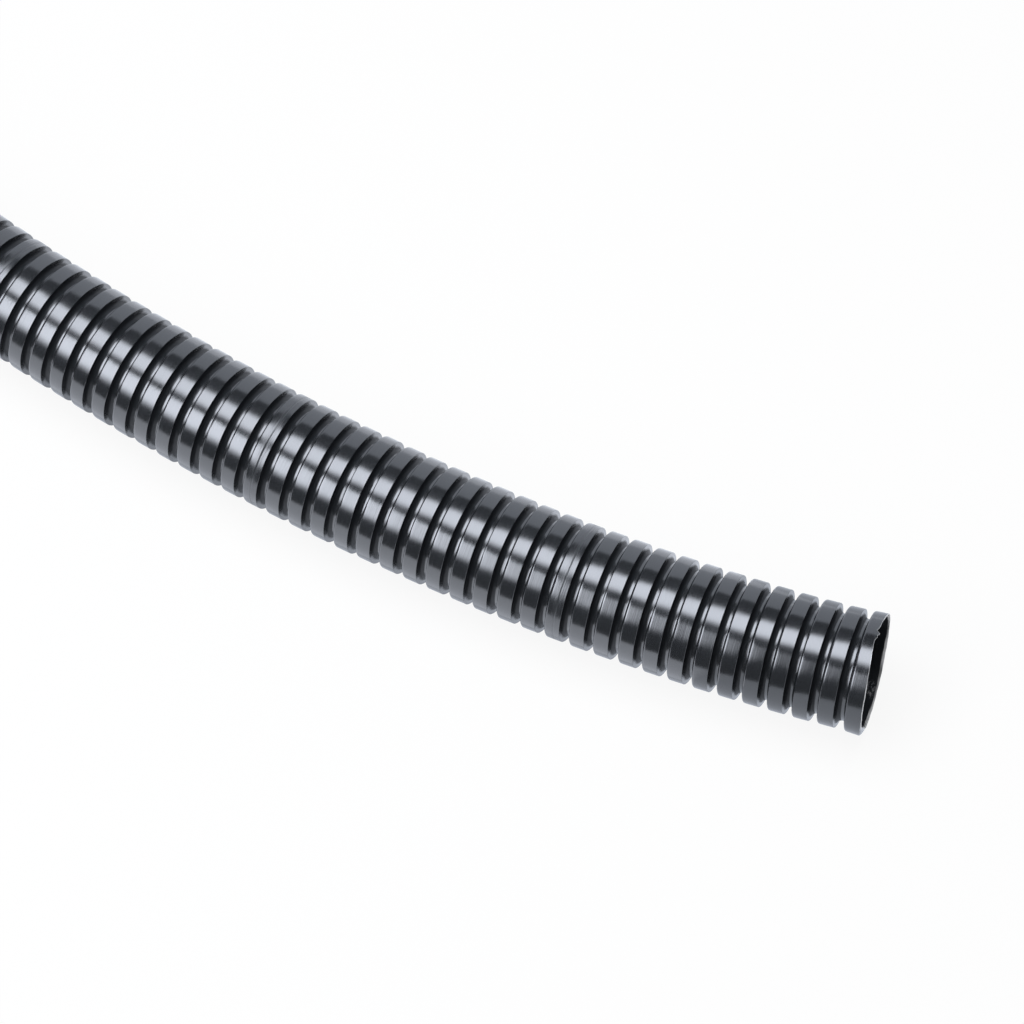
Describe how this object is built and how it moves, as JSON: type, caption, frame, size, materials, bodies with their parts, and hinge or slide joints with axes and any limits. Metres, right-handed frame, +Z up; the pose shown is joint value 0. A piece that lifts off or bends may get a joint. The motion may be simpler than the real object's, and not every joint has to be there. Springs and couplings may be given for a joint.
{
  "type": "pool vacuum hose",
  "caption": "Corrugated black plastic vacuum hose for pools, lying in an open bend, with one bare cut end and a swivel cuff on the other.",
  "frame": {"origin": "centre of the cut end's mouth, on the hose's axis", "axes": "+X out of the cut end along the hose's axis, +Y towards the side the hose bends to, +Z up from the surface it lies on"},
  "size_m": [0.6598, 0.5629, 0.0597],
  "materials": {
    "hose_plastic": "glossy moulded",
    "cuff_plastic": "fine satin",
    "shell_plastic": "satin moulded",
    "ring_plastic": "semi-gloss moulded",
    "seal_rubber": "smooth"
  },
  "bodies": {
    "hose": {"hose_cut_end": "hose_plastic", "hose_run": "hose_plastic", "hose_tail": "hose_plastic", "grip_shell_upper": "shell_plastic", "grip_shell_lower": "shell_plastic", "ring_seal": "seal_rubber"},
    "cuff": {"swivel_cuff": "cuff_plastic", "retaining_ring": "ring_plastic"}
  },
  "joints": [
    {"name": "cuff_swivel", "type": "hinge", "parent": "hose", "child": "cuff", "pos_m": [-0.63, 0.5, 0.00663], "axis": [0, 1, 0], "continuous": true}
  ]
}
